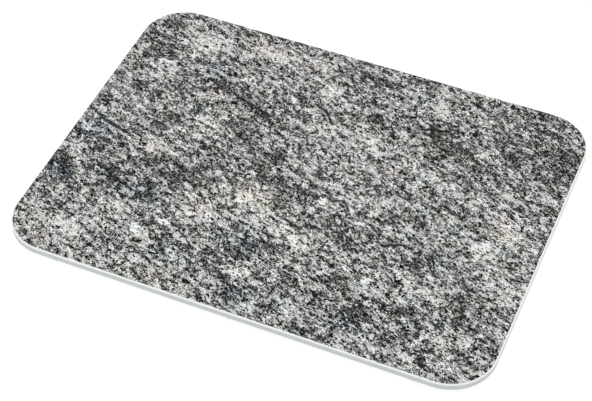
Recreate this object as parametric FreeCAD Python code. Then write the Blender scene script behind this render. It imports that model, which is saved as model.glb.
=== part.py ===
"""Granite-patterned glass work board: a toughened glass panel, a white coat and a granite print on
its top face, and six self-adhesive rubber feet under it.

Frame: +X along the long side, +Y to the back, +Z up. The origin is the middle of the board, on the
surface that the feet stand on. Lengths are in millimetres.
"""

import FreeCAD, Part
import os

from FreeCAD import Vector

# Glass panel
PANEL_LENGTH = 400.0
PANEL_DEPTH = 300.0
GLASS_THICKNESS = 6.0
CORNER_RADIUS = 38.0
TOP_BEVEL = 1.0  # ground at 45 degrees all round the top edge
LOWER_SEAM = 0.4  # the narrow bevel that dulls the lower edge

# Coats on the top face
UNDERCOAT_THICKNESS = 0.10
UNDERCOAT_MARGIN = 0.05  # from the top bevel to the edge of the white coat
PRINT_THICKNESS = 0.10
PRINT_MARGIN = 0.15  # from the top bevel to the edge of the print

# Feet
FOOT_RADIUS = 8.0  # where the foot meets its adhesive disc
FOOT_TREAD_RADIUS = 7.2  # where the tapered wall would meet the surface
FOOT_HEIGHT = 3.2
FOOT_RIM_ROUND = 0.7
DISH_RADIUS = 3.6  # the shallow hollow in the middle of the tread
DISH_DEPTH = 0.35
ADHESIVE_RADIUS = 7.7
ADHESIVE_THICKNESS = 0.3
FOOT_INSET = 1.3  # from the panel's long edge to the rim of the foot
FOOT_PITCH = 147.0  # from foot to foot along the long side

# Heights, from the surface up
ADHESIVE_BOTTOM = FOOT_HEIGHT
GLASS_BOTTOM = ADHESIVE_BOTTOM + ADHESIVE_THICKNESS
GLASS_TOP = GLASS_BOTTOM + GLASS_THICKNESS
PRINT_BOTTOM = GLASS_TOP + UNDERCOAT_THICKNESS

SAME_HEIGHT = 1e-6  # how nearly two heights agree when edges are looked up


def edges_at(shape, height):
    """The edges of shape that lie level, at this height."""
    return [
        edge
        for edge in shape.Edges
        if abs(edge.BoundBox.ZMin - height) < SAME_HEIGHT
        and abs(edge.BoundBox.ZMax - height) < SAME_HEIGHT
    ]


def rounded_plate(inset, bottom, thickness):
    """A level plate with the panel's rounded outline, drawn in by inset all round."""
    length = PANEL_LENGTH - 2 * inset
    depth = PANEL_DEPTH - 2 * inset
    plate = Part.makeBox(length, depth, thickness, Vector(-length / 2, -depth / 2, bottom))
    upright = [edge for edge in plate.Edges if abs(edge.BoundBox.ZLength - thickness) < SAME_HEIGHT]
    return plate.makeFillet(CORNER_RADIUS - inset, upright)


def glass_panel():
    """The toughened glass, with its top edge bevelled and its lower edge seamed."""
    plate = rounded_plate(0.0, GLASS_BOTTOM, GLASS_THICKNESS)
    plate = plate.makeChamfer(TOP_BEVEL, edges_at(plate, GLASS_TOP))
    return plate.makeChamfer(LOWER_SEAM, edges_at(plate, GLASS_BOTTOM))


def white_undercoat():
    """The opaque white coat on the glass, under the print."""
    return rounded_plate(TOP_BEVEL + UNDERCOAT_MARGIN, GLASS_TOP, UNDERCOAT_THICKNESS)


def granite_print():
    """The granite pattern, which covers the white coat almost to its edge."""
    return rounded_plate(TOP_BEVEL + PRINT_MARGIN, PRINT_BOTTOM, PRINT_THICKNESS)


def foot(centre):
    """A moulded bumper: a tapered wall, a rounded rim and a shallow dish in its tread."""
    body = Part.makeCone(FOOT_TREAD_RADIUS, FOOT_RADIUS, FOOT_HEIGHT, centre)
    body = body.makeFillet(FOOT_RIM_ROUND, edges_at(body, centre.z))
    ball_radius = (DISH_RADIUS**2 + DISH_DEPTH**2) / (2 * DISH_DEPTH)
    ball_centre = centre + Vector(0, 0, DISH_DEPTH - ball_radius)
    return body.cut(Part.makeSphere(ball_radius, ball_centre))


def adhesive_disc(centre):
    """The disc that holds a foot to the glass."""
    bottom = centre + Vector(0, 0, ADHESIVE_BOTTOM)
    return Part.makeCylinder(ADHESIVE_RADIUS, ADHESIVE_THICKNESS, bottom)


def foot_places():
    """Each foot's name and the middle of its tread: three along each long side."""
    row = PANEL_DEPTH / 2 - FOOT_INSET - FOOT_RADIUS
    for side, y in (("front", -row), ("back", row)):
        for place, x in (("left", -FOOT_PITCH), ("middle", 0.0), ("right", FOOT_PITCH)):
            yield f"{side}_{place}", Vector(x, y, 0)


def all_parts():
    """Every node's name and its shape."""
    parts = {
        "glass_panel": glass_panel(),
        "white_undercoat": white_undercoat(),
        "granite_print": granite_print(),
    }
    for name, centre in foot_places():
        parts[f"foot_{name}"] = foot(centre)
        parts[f"adhesive_{name}"] = adhesive_disc(centre)
    return parts


os.makedirs("parts", exist_ok=True)
for node, shape in all_parts().items():
    (solid,) = shape.Solids
    if not solid.isValid():
        raise ValueError(f"{node} isn't a valid solid")
    solid.exportStep(f"parts/{node}.step")
    print(f"{node}: {solid.Volume:.1f} mm3")
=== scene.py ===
"""A granite-patterned glass work board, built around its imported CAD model.

The board is a toughened glass panel with ground edges. A white coat and a granite print cover its
top face, and six moulded rubber feet are stuck under it. Lengths are in metres, in the row's frame:
+X along the long side, +Y to the back, +Z up, with the origin under the middle of the board.
"""

import math

import bmesh
import bpy
from mathutils import Matrix, Vector


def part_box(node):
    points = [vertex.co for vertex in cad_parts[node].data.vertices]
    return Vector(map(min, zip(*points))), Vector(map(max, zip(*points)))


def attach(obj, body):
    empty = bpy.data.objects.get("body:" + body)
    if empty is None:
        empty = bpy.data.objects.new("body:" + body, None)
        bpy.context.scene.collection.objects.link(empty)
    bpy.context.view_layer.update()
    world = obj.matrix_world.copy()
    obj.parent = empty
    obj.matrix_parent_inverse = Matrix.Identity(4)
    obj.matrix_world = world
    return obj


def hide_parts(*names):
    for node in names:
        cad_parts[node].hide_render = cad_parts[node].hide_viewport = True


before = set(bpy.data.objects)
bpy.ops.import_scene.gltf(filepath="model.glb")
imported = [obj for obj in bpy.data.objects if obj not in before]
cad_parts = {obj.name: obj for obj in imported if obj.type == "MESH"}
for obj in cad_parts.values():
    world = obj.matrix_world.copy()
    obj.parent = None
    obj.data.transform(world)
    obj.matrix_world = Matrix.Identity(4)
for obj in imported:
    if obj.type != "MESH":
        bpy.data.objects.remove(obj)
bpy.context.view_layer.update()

MM = 0.001
BODY = "root"

PANEL_LOW, PANEL_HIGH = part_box("glass_panel")
BOARD_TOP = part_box("granite_print")[1].z

# The panel's edge: the bevel and the seam are ground at 45 degrees, and the lines between the
# ground faces are finely rounded
CORNER_RADIUS = 38 * MM
TOP_BEVEL = 1.0 * MM
LOWER_SEAM = 0.4 * MM
EDGE_ROUND = 0.12 * MM
CORNER_STEPS = 40
ROUND_STEPS = 4

# Half the length of the panel's straight sides
FLAT_X = PANEL_HIGH.x - CORNER_RADIUS
FLAT_Y = PANEL_HIGH.y - CORNER_RADIUS

# The panel's materials, in the order of its mesh's slots
SIDE, FLAT_FACE, BEVEL = range(3)

# A moulded foot, with the lean of its wall in degrees
FOOT_RADIUS = 8 * MM
FOOT_HEIGHT = 3.2 * MM
FLANGE = 0.5 * MM
WAIST_RADIUS = 7.45 * MM
WAIST_ROUND = 0.25 * MM
WALL_LEAN = 8
TREAD_RADIUS = 7.2 * MM
RIM_ROUND = 0.7 * MM
DISH_RADIUS = 3.6 * MM
DISH_DEPTH = 0.35 * MM
DISH_ROUND = 0.175 * MM
TREAD_GROOVES = (4.5 * MM, 5.6 * MM)
GROOVE_RADIUS = 0.18 * MM
FOOT_SEGMENTS = 72

# The camera, in degrees: it looks from the front, a little to the right
CAMERA_AZIMUTH = 23.08
CAMERA_DOWN = 47.20
CAMERA_DISTANCE = 1318 * MM
CAMERA_TARGET = Vector((2.7 * MM, -24.6 * MM, BOARD_TOP))
CAMERA_LENS_MM = 101.1
SENSOR_WIDTH_MM = 36
CLIP_START, CLIP_END = 0.01, 50

# The studio: the floor glows, and the surround looks lighter to the camera than it shines
FLOOR_REACH = 6.0
FLOOR_GAP = 0.05 * MM
FLOOR_GREY = 0.17
FLOOR_GLOW = 0.88
SURROUND_LIGHT = 0.35
SURROUND_SEEN = 0.94


# ---------------------------------------------------------------- nodes


class Tree:
    """A node tree with one short call for each kind of node that the materials use."""

    def __init__(self, tree):
        self.tree = tree
        tree.nodes.clear()

    def add(self, kind, inputs=None, **settings):
        """A new node, with these settings and a value or a link for each of these inputs."""
        node = self.tree.nodes.new(kind)
        for name, value in settings.items():
            setattr(node, name, value)
        for name, value in (inputs or {}).items():
            self.feed(node.inputs[name], value)
        return node

    def feed(self, socket, value):
        """Link a socket to another one, or set it to a constant."""
        if isinstance(value, bpy.types.NodeSocket):
            self.tree.links.new(value, socket)
        else:
            socket.default_value = value

    def math(self, operation, *values):
        """The result of an operation on numbers."""
        return self.add("ShaderNodeMath", dict(enumerate(values)), operation=operation).outputs[0]

    def vector(self, operation, *values):
        """The result of an operation on vectors or colours."""
        node = self.add("ShaderNodeVectorMath", dict(enumerate(values)), operation=operation)
        return node.outputs[0]

    def total(self, *terms):
        """The sum of weight times value over the terms."""
        result = 0.0
        for value, weight in terms:
            result = self.math("MULTIPLY_ADD", value, weight, result)
        return result

    def millimetres(self):
        """The place on the piece, in millimetres."""
        place = self.add("ShaderNodeTexCoord").outputs["Object"]
        scaled = self.add("ShaderNodeVectorMath", {0: place, "Scale": 1 / MM}, operation="SCALE")
        return scaled.outputs[0]

    def flat_millimetres(self):
        """The place on the piece in millimetres, with its height left out."""
        return self.vector("MULTIPLY", self.millimetres(), (1, 1, 0))

    def moved(self, vector, x, y):
        """The same place in another part of an endless texture."""
        return self.vector("ADD", vector, (x, y, 0))

    def drawn_out(self, vector, turn, stretch):
        """Coordinates in which a texture is longer by stretch along one direction."""
        return self.add(
            "ShaderNodeMapping",
            {"Vector": vector, "Rotation": (0, 0, turn), "Scale": (stretch, 1 / stretch, 1)},
            vector_type="TEXTURE",
        ).outputs[0]

    def warp(self, vector, size, amount):
        """The vector pushed about by up to half of amount millimetres, in swirls of this size."""
        push = self.noise(vector, size=size, detail=2, roughness=0.6, colour=True)
        start = self.moved(vector, -amount / 2, -amount / 2)
        return self.vector("MULTIPLY_ADD", push, (amount, amount, 0), start)

    def noise(self, vector, size, detail=2, roughness=0.5, colour=False):
        """Smooth noise whose largest features are about size millimetres across."""
        node = self.add(
            "ShaderNodeTexNoise",
            {"Vector": vector, "Scale": 1 / size, "Detail": detail, "Roughness": roughness},
        )
        return node.outputs["Color" if colour else "Fac"]

    def cells(self, vector, size):
        """A random level for each cell of a mosaic, with cells about size millimetres across."""
        node = self.add("ShaderNodeTexVoronoi", {"Vector": vector, "Scale": 1 / size})
        return self.red(node.outputs["Color"])

    def red(self, colour):
        """The red of a colour, as a number."""
        return self.add("ShaderNodeSeparateColor", {"Color": colour}).outputs[0]

    def ramp(self, value, *stops):
        """Colours along a value. Each stop is a place and a colour."""
        node = self.add("ShaderNodeValToRGB", {"Fac": value})
        elements = node.color_ramp.elements
        while len(elements) < len(stops):
            elements.new(0.5)
        for element, (place, colour) in zip(elements, stops):
            element.position = place
            element.color = colour
        return node.outputs["Color"]

    def levels(self, value, *stops):
        """Greys along a value. Each stop is a place and a level."""
        return self.ramp(value, *((place, grey(level)) for place, level in stops))

    def mix(self, factor, a, b, blend="MIX"):
        """Two colours mixed. Their sockets go by number, because several share a name."""
        node = self.add("ShaderNodeMix", data_type="RGBA", blend_type=blend, clamp_factor=True)
        self.feed(node.inputs["Factor"], factor)
        self.feed(node.inputs[6], a)
        self.feed(node.inputs[7], b)
        return node.outputs[2]

    def bump(self, height, strength, distance):
        """A normal from a height."""
        return self.add(
            "ShaderNodeBump", {"Height": height, "Strength": strength, "Distance": distance}
        ).outputs[0]

    def surface(self, inputs):
        """The material's surface."""
        shader = self.add("ShaderNodeBsdfPrincipled", inputs)
        self.add("ShaderNodeOutputMaterial", {"Surface": shader.outputs[0]})


def new_material(name):
    """A new material, and its node tree with nothing in it."""
    material = bpy.data.materials.new(name)
    material.use_nodes = True
    return material, Tree(material.node_tree)


def rgb(*levels):
    return (*levels, 1.0)


def grey(level):
    return rgb(level, level, level)


# ---------------------------------------------------------------- materials

# The way the grains are drawn out, and the way the fine black seams run
FOLIATION = math.radians(-24)
SEAM_TURN = math.radians(-34)

# The granite's tone is its area, how pale it is over a few millimetres, and the speckle of its
# grains, which is stronger where the area is dark
PATCH_SHARE = 0.90
AREA_MEAN = 0.65
AREA_STEEPNESS = 8.4
AREA_LIMIT = 0.157
AREA_SHARE = 1.9
SPECKLE_MEAN = 1.34
SPECKLE_SHARE = 1.09
SPECKLE_BY_AREA = -1.2
TONE_MEAN = 0.531
TONE_COLOURS = (
    (0.16, rgb(0.013, 0.014, 0.014)),
    (0.36, rgb(0.058, 0.060, 0.059)),
    (0.54, rgb(0.194, 0.197, 0.192)),
    (0.72, rgb(0.440, 0.443, 0.433)),
    (0.92, rgb(0.690, 0.693, 0.681)),
)
DULL_WHITE = rgb(0.55, 0.55, 0.54)
BRIGHT_WHITE = rgb(0.72, 0.72, 0.70)
SEAM_BLACK = grey(0.010)
MICA_BLACK = grey(0.003)

# Added to the colour while a stain multiplies it, so that the stain shows on dark grains too
STAIN_LIFT = 0.04

# So wide in Z that the sum which spots() carries there makes no difference to a spot
FAR = 1e6

# The darker and the paler colour of the ground glass
SIDE_COLOURS = (rgb(0.60, 0.655, 0.625), rgb(0.70, 0.745, 0.72))
# The bevel's colours are a paler copy of the side's: a painted highlight along the bevel
BEVEL_HIGHLIGHT_COLOURS = (rgb(0.74, 0.76, 0.745), rgb(0.81, 0.825, 0.815))

# Dark bands and pale patches of the granite, placed one by one: x, y, half length and half width in
# millimetres, the turn in degrees, and the strength, above zero for a pale one
PATCHES = (
    (-192, 103, 9, 8, -40, -0.10),
    (-170, 95, 13, 9, 10, -0.15),
    (-111, 72, 17, 6, 0, -0.14),
    (-73, 60, 20, 6, -28, -0.13),
    (-150, 56, 8, 8, 0, -0.10),
    (-188, 65, 8, 6, 0, -0.10),
    (-113, 43, 9, 7, -20, -0.10),
    (-129, 21, 15, 6, 0, -0.13),
    (-63, 26, 17, 6, -45, -0.15),
    (-30, 14, 9, 11, 20, -0.14),
    (-30, -11, 12, 7, 0, -0.10),
    (5, -17, 13, 7, 15, -0.14),
    (-81, -25, 15, 9, 62, -0.13),
    (-174, -22, 21, 6, 0, -0.17),
    (-122, -29, 12, 6, 0, -0.11),
    (-96, -40, 7, 12, 0, -0.10),
    (-147, -54, 11, 11, 0, -0.18),
    (-111, -63, 11, 9, 20, -0.19),
    (-186, -65, 8, 14, 25, -0.18),
    (81, 91, 13, 9, -40, -0.15),
    (99, 78, 11, 8, -40, -0.15),
    (147, 89, 10, 8, 0, -0.17),
    (190, 95, 12, 14, 10, -0.20),
    (170, 116, 14, 15, 0, -0.09),
    (28, 87, 7, 6, 0, -0.13),
    (44, 76, 11, 5, -50, -0.11),
    (59, 13, 7, 11, -30, -0.09),
    (99, -8, 15, 7, -15, -0.15),
    (74, -23, 6, 9, 0, -0.14),
    (59, -53, 9, 7, 0, -0.15),
    (117, -49, 13, 8, 20, -0.17),
    (25, -40, 14, 6, 0, -0.09),
    (-12, -86, 22, 11, 0, -0.13),
    (35, -111, 10, 7, -30, -0.12),
    (67, -93, 12, 11, 0, -0.09),
    (87, -114, 12, 9, -20, -0.14),
    (127, -98, 22, 6, -5, -0.12),
    (165, -84, 18, 9, 0, -0.11),
    (125, -122, 14, 7, 20, -0.11),
    (-74, -112, 7, 12, 0, -0.10),
    (-36, -118, 15, 6, -15, -0.10),
    (128, 63, 24, 9, -35, -0.06),
    (5, 133, 10, 8, 0, -0.10),
    (-50, 48, 16, 7, 15, -0.12),
    (-35, 87, 14, 7, -50, -0.12),
    (-8, 118, 6, 11, 0, -0.13),
    (-75, 0, 7, 8, 0, -0.13),
    (-42, -42, 7, 11, 30, -0.10),
    (78, 78, 12, 7, -40, -0.08),
    (95, 52, 6, 10, 0, -0.11),
    (138, 112, 12, 8, -30, -0.11),
    (162, 97, 8, 8, -40, -0.10),
    (190, 83, 10, 6, 0, -0.10),
    (-172, -40, 12, 7, 35, -0.10),
    (-140, -67, 16, 7, 15, -0.10),
    (18, -32, 12, 6, -40, -0.08),
    (-85, -78, 12, 5, 0, -0.08),
    (22, -80, 8, 14, 60, -0.07),
    (30, 100, 14, 5, -15, -0.08),
    (27, 48, 16, 8, 75, 0.12),
    (-26, 26, 8, 8, 30, 0.14),
    (40, 1, 9, 8, 0, 0.11),
    (168, -112, 8, 9, 60, 0.13),
    (112, -9, 30, 5, -28, 0.10),
    (-60, -46, 14, 5, -45, 0.11),
    (-160, -10, 8, 8, 40, 0.08),
    (70, 60, 12, 6, 20, 0.10),
    (-70, -126, 25, 7, 0, 0.08),
    (140, 40, 10, 14, 0, 0.07),
    (-140, 116, 17, 12, 20, 0.17),
    (-79, 124, 22, 8, 0, 0.17),
    (-17, 102, 8, 9, 0, 0.19),
    (-38, 123, 9, 13, 0, 0.10),
    (71, 118, 10, 8, -30, 0.12),
    (41, 113, 8, 8, 0, 0.10),
    (33, 62, 13, 7, -35, 0.19),
    (0, 60, 15, 7, 10, 0.11),
    (-157, 76, 9, 12, 0, 0.10),
    (-93, 22, 9, 11, 20, 0.11),
    (49, -3, 22, 7, -5, 0.14),
    (89, 40, 15, 6, -10, 0.09),
    (168, 14, 14, 11, 0, 0.12),
    (157, -15, 8, 9, 0, 0.21),
    (186, -48, 12, 12, 0, 0.13),
    (122, -74, 13, 6, 15, 0.15),
    (95, -85, 13, 6, 10, 0.10),
    (-34, -37, 12, 9, 30, 0.18),
    (12, -58, 18, 6, -25, 0.15),
    (-17, -58, 10, 10, 0, 0.12),
    (-66, -65, 14, 11, 0, 0.10),
    (-100, -102, 11, 6, -10, 0.14),
    (-152, -121, 18, 12, -10, 0.16),
    (-184, -42, 9, 6, 0, 0.12),
    (-124, -11, 11, 6, 0, 0.09),
    (-124, -84, 15, 6, 0, 0.09),
)

# Thin dark cracks, laid out in the same way: the last number is how clear each one is
CRACKS = (
    (-169, -5, 19, 2.0, -15, 1.0),
    (-86, 65, 13, 1.3, -19, 0.7),
    (-62, 57, 13, 1.3, -22, 0.7),
    (-131, -62, 21, 1.3, -19, 0.7),
    (10, -49, 14, 1.4, -14, 0.8),
    (77, 93, 16, 1.4, 18, 0.8),
    (92, -38, 11, 1.5, 24, 0.9),
    (158, 55, 10, 1.1, -30, 0.8),
    (-11, 75, 12, 1.2, -48, 0.8),
    (88, 75, 13, 1.5, -25, 0.8),
    (-134, 65, 12, 1.1, -20, 0.7),
)

# Bright white crystals, laid out in the same way
CRYSTALS = (
    (-37, -41, 4.5, 3.2, 20, 1.1),
    (-86, -86, 7, 2.6, 0, 1.0),
    (-100, -101, 5.5, 3.2, 20, 1.3),
    (-11, -113, 11, 2.2, 5, 1.0),
    (-165, 81, 7, 4, 0, 0.9),
    (-108, 31, 4, 3.4, 60, 0.9),
    (35, 62, 8, 5, -30, 0.5),
    (60, 119, 6, 4, -30, 0.55),
    (165, 14, 6, 4, 10, 0.6),
    (157, -13, 8, 4, -65, 0.5),
    (-69, -70, 4.5, 2.6, 30, 1.0),
    (-54, -67, 4, 2.6, -40, 1.0),
    (85, -80, 6, 3, 20, 0.9),
    (114, -69, 8, 2.6, 20, 0.6),
    (-90, 88, 6, 2.6, 25, 0.9),
    (22, -17, 5, 3, -60, 1.0),
    (57, -28, 5, 2.8, 0, 0.5),
    (-20, 103, 6, 5, 60, 0.5),
    (-115, 12, 6, 2.2, -10, 0.9),
    (17, -65, 9, 2.6, -38, 1.0),
    (40, -133, 5, 2.8, -40, 0.9),
    (143, -112, 7, 2.8, 75, 0.9),
)

# Warm and cool stains, laid out in the same way: the last number is above zero for a warm one
STAINS = (
    (-86, 131, 22, 10, 0, 0.30),
    (-34, 118, 10, 14, 0, 0.20),
    (-124, -12, 12, 8, 0, 0.30),
    (-34, -32, 24, 10, 0, 0.40),
    (-4, -38, 10, 7, 0, 0.30),
    (-65, -55, 16, 14, 0, 0.30),
    (20, 72, 18, 9, 0, 0.28),
    (-91, 25, 14, 11, 0, 0.28),
    (85, 76, 15, 13, 0, 0.28),
    (76, 122, 10, 8, 0, 0.25),
    (164, 2, 18, 9, 35, 0.25),
    (-188, -126, 14, 14, 0, 0.30),
    (-63, -137, 24, 7, 0, 0.25),
    (22, -63, 20, 8, 0, 0.20),
    (-186, -15, 20, 14, 0, -0.35),
    (-122, -65, 28, 9, -5, -0.35),
    (-184, -69, 14, 11, 0, -0.30),
    (-63, -116, 13, 10, 0, -0.38),
    (-20, -86, 18, 10, 0, -0.25),
    (6, -131, 34, 10, 0, -0.25),
    (85, -128, 14, 14, 0, -0.28),
    (132, -101, 18, 9, 0, -0.25),
    (-119, 88, 13, 9, 0, -0.30),
    (55, 112, 9, 13, 0, -0.25),
    (8, 97, 15, 10, 0, -0.22),
    (113, -40, 16, 14, 0, -0.20),
)


def spots(tree, place, entries):
    """The sum of soft oval spots, each faded to about a third at its half length and half width.

    The place is level, with 0 in Z. The sum is carried in Z from spot to spot, so that Cycles holds
    few values at a time.
    """
    carried = place
    for x, y, half_length, half_width, turn, strength in entries:
        near = tree.add(
            "ShaderNodeMapping",
            {
                "Vector": carried,
                "Location": (x, y, 0),
                "Rotation": (0, 0, math.radians(turn)),
                "Scale": (half_length, half_width, FAR),
            },
            vector_type="TEXTURE",
        ).outputs[0]
        square = tree.add("ShaderNodeVectorMath", {0: near, 1: near}, operation="DOT_PRODUCT")
        fade = tree.math("EXPONENT", tree.math("MULTIPLY", square.outputs["Value"], -1.0))
        carried = tree.vector("MULTIPLY_ADD", fade, (0, 0, strength), carried)
    return tree.add("ShaderNodeSeparateXYZ", {0: carried}).outputs["Z"]


def granite_area(tree, warped, bands, blots):
    """How pale the granite is over a few millimetres, with 0 for its middle tone."""
    long_grains = tree.drawn_out(warped, FOLIATION, stretch=1.3)
    cluster = tree.noise(tree.moved(long_grains, 5, 50), size=4.8)
    mottle = tree.noise(tree.moved(bands, 90, 20), size=9)
    drift = tree.noise(tree.moved(bands, 40, 70), size=26, detail=1)
    area = tree.total((cluster, 0.52), (mottle, 0.56), (drift, 0.22))
    area = tree.math("MULTIPLY_ADD", spots(tree, blots, PATCHES), PATCH_SHARE, area)
    area = tree.math("SUBTRACT", area, AREA_MEAN)
    # Held back towards its ends, so that the grain stays clear in the darkest bands
    held = tree.math("TANH", tree.math("MULTIPLY", area, AREA_STEEPNESS))
    return tree.math("MULTIPLY", held, AREA_LIMIT)


def granite_grains(tree, bands, area, big, small, fine):
    """The colour of the grains, from black mica to pale feldspar."""
    speckle = tree.total((big, 0.13), (small, 0.68), (fine, 1.87))
    speckle = tree.math("SUBTRACT", speckle, SPECKLE_MEAN)
    # How far the grains stand out from each other, which differs from place to place
    lively = tree.noise(tree.moved(bands, 63, 35), size=8)
    lively = tree.red(tree.levels(lively, (0.38, 0.6), (0.58, 1)))
    lively = tree.math("MULTIPLY", lively, SPECKLE_SHARE)
    lively = tree.math("MULTIPLY_ADD", area, SPECKLE_BY_AREA, lively)
    middle = tree.math("MULTIPLY_ADD", area, AREA_SHARE, TONE_MEAN)
    return tree.ramp(tree.math("MULTIPLY_ADD", speckle, lively, middle), *TONE_COLOURS)


def with_crystals(tree, colour, warped, grains, area):
    """The colour with dull white crystals scattered in it, and the bright ones in their places."""
    dull = tree.cells(tree.moved(grains, 61, 83), size=3.4)
    dull = tree.math("MULTIPLY_ADD", area, 0.8, dull)
    colour = tree.mix(tree.levels(dull, (0.78, 0), (0.84, 0.6)), colour, DULL_WHITE)
    bright = tree.levels(spots(tree, warped, CRYSTALS), (0.30, 0), (0.52, 0.8))
    return tree.mix(bright, colour, BRIGHT_WHITE)


def with_seams(tree, colour, place, warped, bands, area):
    """The colour with fine black seams, each broken here and there, and the cracks."""
    along = tree.moved(tree.drawn_out(warped, SEAM_TURN, stretch=1.7), 23, 59)
    seam = tree.noise(along, size=5.5, detail=3, roughness=0.62)
    seam = tree.math("ABSOLUTE", tree.math("SUBTRACT", seam, 0.5))
    seam = tree.levels(seam, (0.012, 1), (0.038, 0))
    whole = tree.noise(tree.moved(bands, 17, 29), size=4.5, detail=2, roughness=0.6)
    whole = tree.math("MULTIPLY_ADD", area, -0.3, whole)
    whole = tree.levels(whole, (0.44, 0), (0.54, 1))
    colour = tree.mix(tree.math("MULTIPLY", seam, whole), colour, SEAM_BLACK)
    crack = spots(tree, tree.warp(place, size=5, amount=2.2), CRACKS)
    return tree.mix(tree.levels(crack, (0.20, 0), (0.55, 0.92)), colour, SEAM_BLACK)


def with_mica(tree, colour, warped, fine, area):
    """The colour with black flakes of mica, most of them in the dark areas."""
    flakes = tree.moved(tree.drawn_out(warped, FOLIATION, stretch=1.2), 71, 13)
    flake = tree.cells(flakes, size=1.5)
    mica = tree.total((flake, 1.0), (fine, 0.25), (area, -0.65))
    return tree.mix(tree.levels(mica, (0.94, 0), (0.96, 1)), colour, MICA_BLACK)


def with_stains(tree, colour, blots, area):
    """The colour with wide soft stains, warm and cool, and more or less green."""
    warmth = tree.noise(tree.moved(blots, 11, 47), size=15, detail=3, roughness=0.6)
    warmth = tree.total((warmth, 1.0), (spots(tree, blots, STAINS), 0.7), (area, 0.10))
    green = tree.noise(tree.moved(blots, 77, 31), size=20, detail=3, roughness=0.6)
    stain = tree.add(
        "ShaderNodeCombineColor",
        {
            "Red": tree.math("MULTIPLY_ADD", warmth, 0.16, 0.921),
            "Green": tree.math("MULTIPLY_ADD", green, 0.18, 0.912),
            "Blue": tree.math("MULTIPLY_ADD", warmth, -0.20, 1.097),
        },
    ).outputs[0]
    lifted = tree.vector("ADD", colour, (STAIN_LIFT,) * 3)
    return tree.vector("MULTIPLY_ADD", lifted, stain, (-STAIN_LIFT,) * 3)


def granite_print_material():
    """Grey granite: pale feldspar, grey quartz and black mica, drawn out along the foliation."""
    material, tree = new_material("granite_print_ink")
    place = tree.flat_millimetres()
    warped = tree.warp(place, size=2.6, amount=1.3)
    grains = tree.drawn_out(warped, FOLIATION, stretch=1.08)
    bands = tree.drawn_out(tree.warp(place, size=9, amount=7), FOLIATION, stretch=1.65)
    blots = tree.warp(place, size=14, amount=14)

    area = granite_area(tree, warped, bands, blots)
    big = tree.cells(grains, size=2.3)
    small = tree.cells(tree.moved(grains, 37, 11), size=1.05)
    fine = tree.noise(tree.moved(grains, 3, 8), size=1.1, detail=2, roughness=0.75)
    colour = granite_grains(tree, bands, area, big, small, fine)
    colour = with_crystals(tree, colour, warped, grains, area)
    colour = with_seams(tree, colour, place, warped, bands, area)
    colour = with_mica(tree, colour, warped, fine, area)
    colour = with_stains(tree, colour, blots, area)

    cloud = tree.noise(tree.moved(place, 7, 3), size=18, detail=3, roughness=0.6)
    relief = tree.total((tree.noise(place, size=0.35), 1.0), (big, 0.5), (fine, 0.8))
    tree.surface(
        {
            "Base Color": colour,
            "Roughness": tree.levels(cloud, (0.35, 0.42), (0.65, 0.54)),
            "Specular IOR Level": 0.06,
            "Normal": tree.bump(relief, strength=0.2, distance=0.02 * MM),
        }
    )
    return material


def ground_glass_material(name, darker, paler):
    """Ground glass: matt, pale and greenish, with marks left along the edge by the wheel."""
    material, tree = new_material(name)
    place = tree.millimetres()
    # Drawn out level, so that each mark is 25 times as long as it is high
    along = tree.vector("MULTIPLY", place, (0.04, 0.04, 1))
    marks = tree.noise(along, size=0.28, detail=3, roughness=0.7)
    shade = tree.total((tree.noise(place, size=7, detail=3, roughness=0.6), 0.45), (marks, 0.55))
    grit = tree.total((tree.noise(place, size=0.10, detail=3, roughness=0.7), 0.6), (marks, 0.8))
    tree.surface(
        {
            "Base Color": tree.ramp(shade, (0.36, darker), (0.64, paler)),
            "Roughness": tree.levels(marks, (0.35, 0.42), (0.65, 0.60)),
            "Specular IOR Level": 0.45,
            "Normal": tree.bump(grit, strength=0.35, distance=0.02 * MM),
        }
    )
    return material


def float_glass_material():
    """The panel's underside: glossy float glass, drawn opaque, and greener close to its edge."""
    material, tree = new_material("float_glass_underside")
    place = tree.millimetres()
    sides = tree.add("ShaderNodeSeparateXYZ", {0: place}).outputs
    # How far the place is past the straight part of the panel's sides, each way
    past_x, past_y = (
        tree.math("MAXIMUM", tree.math("SUBTRACT", tree.math("ABSOLUTE", side), flat / MM), 0)
        for side, flat in ((sides["X"], FLAT_X), (sides["Y"], FLAT_Y))
    )
    square = tree.math("MULTIPLY_ADD", past_x, past_x, tree.math("MULTIPLY", past_y, past_y))
    near_edge = tree.math("DIVIDE", tree.math("SQRT", square), CORNER_RADIUS / MM)
    colour = tree.ramp(
        near_edge,
        (0.55, rgb(0.66, 0.73, 0.695)),
        (0.90, rgb(0.58, 0.68, 0.63)),
        (1.00, rgb(0.42, 0.56, 0.49)),
    )
    haze = tree.noise(place, size=30, detail=4, roughness=0.6)
    veil = tree.ramp(haze, (0.3, rgb(0.95, 0.96, 0.96)), (0.7, grey(1)))
    waves = tree.noise(place, size=40, detail=1)
    tree.surface(
        {
            "Base Color": tree.mix(1.0, colour, veil, "MULTIPLY"),
            "Roughness": tree.levels(haze, (0.35, 0.06), (0.70, 0.17)),
            "Specular IOR Level": 0.5,
            "Normal": tree.bump(waves, strength=0.1, distance=0.02 * MM),
        }
    )
    return material


def white_coat_material():
    """White enamel fired onto the glass."""
    material, tree = new_material("white_coat_enamel")
    place = tree.millimetres()
    cloud = tree.noise(place, size=9, detail=4, roughness=0.6)
    pinholes = tree.noise(place, size=0.4, detail=3, roughness=0.6)
    tree.surface(
        {
            "Base Color": tree.ramp(
                cloud, (0.3, rgb(0.79, 0.80, 0.79)), (0.7, rgb(0.86, 0.87, 0.86))
            ),
            "Roughness": tree.levels(pinholes, (0.3, 0.36), (0.7, 0.52)),
            "Normal": tree.bump(pinholes, strength=0.2, distance=0.02 * MM),
        }
    )
    return material


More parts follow.
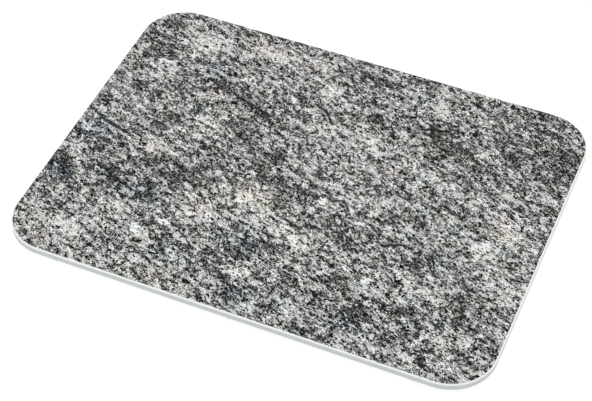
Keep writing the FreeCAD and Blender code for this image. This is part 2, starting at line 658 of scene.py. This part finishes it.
def foot_material():
    """Milky moulded rubber, with the mould's fine texture and a little dirt picked up below."""
    material, tree = new_material("foot_rubber_moulded")
    place = tree.millimetres()
    cloud = tree.noise(place, size=3, detail=4, roughness=0.6)
    colour = tree.ramp(cloud, (0.3, rgb(0.60, 0.635, 0.615)), (0.7, rgb(0.69, 0.715, 0.70)))
    height = tree.add("ShaderNodeSeparateXYZ", {0: place}).outputs["Z"]
    low = tree.levels(height, (0.02, 1), (0.30, 0))
    specks = tree.noise(place, size=0.7, detail=4, roughness=0.65)
    specks = tree.levels(specks, (0.50, 0), (0.70, 0.25))
    dirt = tree.mix(1.0, low, specks, "MULTIPLY")
    texture = tree.noise(place, size=0.22, detail=3, roughness=0.6)
    tree.surface(
        {
            "Base Color": tree.mix(dirt, colour, rgb(0.20, 0.19, 0.17)),
            "Roughness": tree.levels(texture, (0.3, 0.48), (0.7, 0.66)),
            "Specular IOR Level": 0.4,
            "Normal": tree.bump(texture, strength=0.4, distance=0.04 * MM),
        }
    )
    return material


def adhesive_material():
    """Acrylic film, slightly yellow, with trapped air, drawn opaque."""
    material, tree = new_material("adhesive_film_clear")
    air = tree.noise(tree.millimetres(), size=1.2, detail=4, roughness=0.6)
    tree.surface(
        {
            "Base Color": tree.ramp(
                air, (0.35, rgb(0.60, 0.60, 0.54)), (0.65, rgb(0.72, 0.72, 0.67))
            ),
            "Roughness": tree.levels(air, (0.35, 0.22), (0.65, 0.40)),
            "Normal": tree.bump(air, strength=0.3, distance=0.03 * MM),
        }
    )
    return material


# ---------------------------------------------------------------- shapes


def outline(inset, height):
    """The points of the panel's rounded outline, drawn in by inset, at one height."""
    radius = CORNER_RADIUS - inset
    points = []
    for quarter, (side_x, side_y) in enumerate(((1, 1), (-1, 1), (-1, -1), (1, -1))):
        for step in range(CORNER_STEPS + 1):
            angle = math.pi / 2 * (quarter + step / CORNER_STEPS)
            x = side_x * FLAT_X + radius * math.cos(angle)
            y = side_y * FLAT_Y + radius * math.sin(angle)
            points.append(Vector((x, y, height)))
    return points


def rounded(profile, radius):
    """A profile of (inset, height) points with each inner point rounded off."""
    points = [Vector(profile[0])]
    for before, corner, after in zip(profile, profile[1:], profile[2:]):
        before, corner, after = Vector(before), Vector(corner), Vector(after)
        start = corner + (before - corner).normalized() * radius
        end = corner + (after - corner).normalized() * radius
        for step in range(ROUND_STEPS + 1):
            share = step / ROUND_STEPS
            points.append(start.lerp(corner, share).lerp(corner.lerp(end, share), share))
    points.append(Vector(profile[-1]))
    return points


def add_piece(name, bm, materials):
    """A piece from a finished bmesh, riding on the body."""
    mesh = bpy.data.meshes.new(name)
    bm.to_mesh(mesh)
    bm.free()
    piece = bpy.data.objects.new(name, mesh)
    bpy.context.scene.collection.objects.link(piece)
    for material in materials:
        mesh.materials.append(material)
    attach(piece, BODY)
    return piece


def build_panel():
    """The glass, with its bevel, its seam and the finely rounded lines between its ground faces."""
    low, high = PANEL_LOW.z, PANEL_HIGH.z
    margin = 4 * EDGE_ROUND
    profile = [
        (LOWER_SEAM + margin, low),
        (LOWER_SEAM, low),
        (0, low + LOWER_SEAM),
        (0, high - TOP_BEVEL),
        (TOP_BEVEL, high),
        (TOP_BEVEL + margin, high),
    ]
    bm = bmesh.new()
    rings = [
        [bm.verts.new(point) for point in outline(inset, height)]
        for inset, height in rounded(profile, EDGE_ROUND)
    ]
    bevel_low = high - TOP_BEVEL + EDGE_ROUND / 2
    for lower, upper in zip(rings, rings[1:]):
        for index in range(len(lower)):
            after = (index + 1) % len(lower)
            face = bm.faces.new((lower[index], lower[after], upper[after], upper[index]))
            face.smooth = True
            face.material_index = BEVEL if face.calc_center_median().z > bevel_low else SIDE
    for ring in (rings[0][::-1], rings[-1]):
        bm.faces.new(ring).material_index = FLAT_FACE
    side = ground_glass_material("ground_glass_side", *SIDE_COLOURS)
    # The bevel gets a paler copy of the ground glass, a painted highlight along the top edge
    bevel = ground_glass_material("ground_glass_bevel_painted_highlight", *BEVEL_HIGHLIGHT_COLOURS)
    materials = (side, float_glass_material(), bevel)
    piece = add_piece("toughened_glass_panel", bm, materials)
    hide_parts("glass_panel")


def arc(centre_r, centre_z, radius, start, end, steps):
    """Profile points along an arc, with its angles in degrees from outwards towards up."""
    angles = [math.radians(start + (end - start) * step / steps) for step in range(steps + 1)]
    return [(centre_r + radius * math.cos(a), centre_z + radius * math.sin(a)) for a in angles]


def foot_profile():
    """Half of a foot's section, from the middle of its tread round to the middle of its top."""
    waist_r = WAIST_RADIUS + WAIST_ROUND
    waist_z = FOOT_HEIGHT - FLANGE - WAIST_ROUND
    flange_round = FLANGE / 2
    profile = [(0, DISH_DEPTH), (DISH_RADIUS - 2 * DISH_ROUND, DISH_DEPTH)]
    profile += arc(DISH_RADIUS, DISH_ROUND, DISH_ROUND, 180, 270, 4)
    for ring in TREAD_GROOVES:
        profile += arc(ring, 0, GROOVE_RADIUS, 180, 0, 6)
    profile += arc(TREAD_RADIUS - RIM_ROUND, RIM_ROUND, RIM_ROUND, -90, -WALL_LEAN, 8)
    profile += arc(waist_r, waist_z, WAIST_ROUND, 180, 90, 4)
    profile += arc(FOOT_RADIUS - flange_round, FOOT_HEIGHT - flange_round, flange_round, -90, 90, 6)
    profile.append((0, FOOT_HEIGHT))
    return profile


def foot_ring(bm, middle, radius, height):
    """The vertices of a foot at one point of its profile: one on the axis, or a circle of them."""
    count = 1 if radius == 0 else FOOT_SEGMENTS
    angles = [math.tau * index / count for index in range(count)]
    return [
        bm.verts.new((middle.x + radius * math.cos(a), middle.y + radius * math.sin(a), height))
        for a in angles
    ]


def build_foot(name, material):
    """A turned foot: a flange against the adhesive, a drawn-in wall and a grooved, dished tread."""
    low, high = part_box(name)
    middle = (low + high) / 2
    bm = bmesh.new()
    rings = [foot_ring(bm, middle, radius, low.z + height) for radius, height in foot_profile()]
    for inner, outer in zip(rings, rings[1:]):
        for index in range(FOOT_SEGMENTS):
            after = (index + 1) % FOOT_SEGMENTS
            corners = [inner[index % len(inner)], inner[after % len(inner)]]
            corners += [outer[after % len(outer)], outer[index % len(outer)]]
            # A ring that is one vertex on the axis gives triangles
            bm.faces.new(list(dict.fromkeys(corners))).smooth = True
    piece = add_piece(name.replace("foot_", "rubber_foot_"), bm, (material,))
    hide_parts(name)


def build_looks():
    """The new panel and feet, and new materials for the CAD's own print, coat and adhesive."""
    build_panel()
    materials = {
        "granite_print": granite_print_material(),
        "white_undercoat": white_coat_material(),
    }
    foot = foot_material()
    adhesive = adhesive_material()
    for name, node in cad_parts.items():
        if name.startswith("foot_"):
            build_foot(name, foot)
        elif name.startswith("adhesive_"):
            node.material_slots[0].material = adhesive
        elif name in materials:
            node.material_slots[0].material = materials[name]


# ---------------------------------------------------------------- studio


def build_camera():
    """The camera, upright and at the photograph's angle."""
    azimuth, down = math.radians(CAMERA_AZIMUTH), math.radians(CAMERA_DOWN)
    forward = Vector(
        (-math.sin(azimuth) * math.cos(down), math.cos(azimuth) * math.cos(down), -math.sin(down))
    )
    data = bpy.data.cameras.new("camera")
    data.lens = CAMERA_LENS_MM
    data.sensor_width = SENSOR_WIDTH_MM
    data.clip_start, data.clip_end = CLIP_START, CLIP_END
    camera = bpy.data.objects.new("camera", data)
    bpy.context.scene.collection.objects.link(camera)
    turn = forward.to_track_quat("-Z", "Y").to_matrix().to_4x4()
    camera.matrix_world = Matrix.Translation(CAMERA_TARGET - forward * CAMERA_DISTANCE) @ turn
    bpy.context.scene.camera = camera


def build_floor():
    """White paper lit from below, as on a light table, so that hardly any shadow shows."""
    mesh = bpy.data.meshes.new("studio_floor")
    signs = ((-1, -1), (1, -1), (1, 1), (-1, 1))
    corners = [(x * FLOOR_REACH, y * FLOOR_REACH, -FLOOR_GAP) for x, y in signs]
    mesh.from_pydata(corners, [], [(0, 1, 2, 3)])
    floor = bpy.data.objects.new("studio_floor", mesh)
    bpy.context.scene.collection.objects.link(floor)
    material, tree = new_material("studio_floor_paper")
    tree.surface(
        {
            "Base Color": grey(FLOOR_GREY),
            "Roughness": 0.9,
            "Specular IOR Level": 0.0,
            "Emission Color": grey(1),
            "Emission Strength": FLOOR_GLOW,
        }
    )
    mesh.materials.append(material)


def add_softbox(name, direction, distance, size, power):
    """A square softbox that stands in this direction from the origin and faces it."""
    light = bpy.data.lights.new(name, "AREA")
    light.shape = "SQUARE"
    light.size = size
    light.energy = power
    lamp = bpy.data.objects.new(name, light)
    direction = Vector(direction).normalized()
    lamp.location = direction * distance
    lamp.rotation_mode = "QUATERNION"
    lamp.rotation_quaternion = (-direction).to_track_quat("-Z", "Y")
    bpy.context.scene.collection.objects.link(lamp)


def build_surround():
    """A plain white surround."""
    world = bpy.data.worlds.new("studio")
    world.use_nodes = True
    tree = Tree(world.node_tree)
    seen = tree.add("ShaderNodeLightPath").outputs["Is Camera Ray"]
    level = tree.math("MULTIPLY_ADD", seen, SURROUND_SEEN - SURROUND_LIGHT, SURROUND_LIGHT)
    surround = tree.add("ShaderNodeBackground", {"Color": grey(1), "Strength": level})
    tree.add("ShaderNodeOutputWorld", {"Surface": surround.outputs[0]})
    bpy.context.scene.world = world


def build_studio():
    """The floor, the camera, a large softbox above, a faint one on the right and the surround."""
    build_floor()
    build_camera()
    add_softbox("key_light", direction=(-0.05, 0.0, 1.0), distance=1.6, size=1.2, power=31.2)
    add_softbox("side_light", direction=(1.0, 0.62, 0.10), distance=0.7, size=0.5, power=0.6)
    build_surround()
    bpy.context.scene.view_settings.view_transform = "Standard"


build_looks()
build_studio()
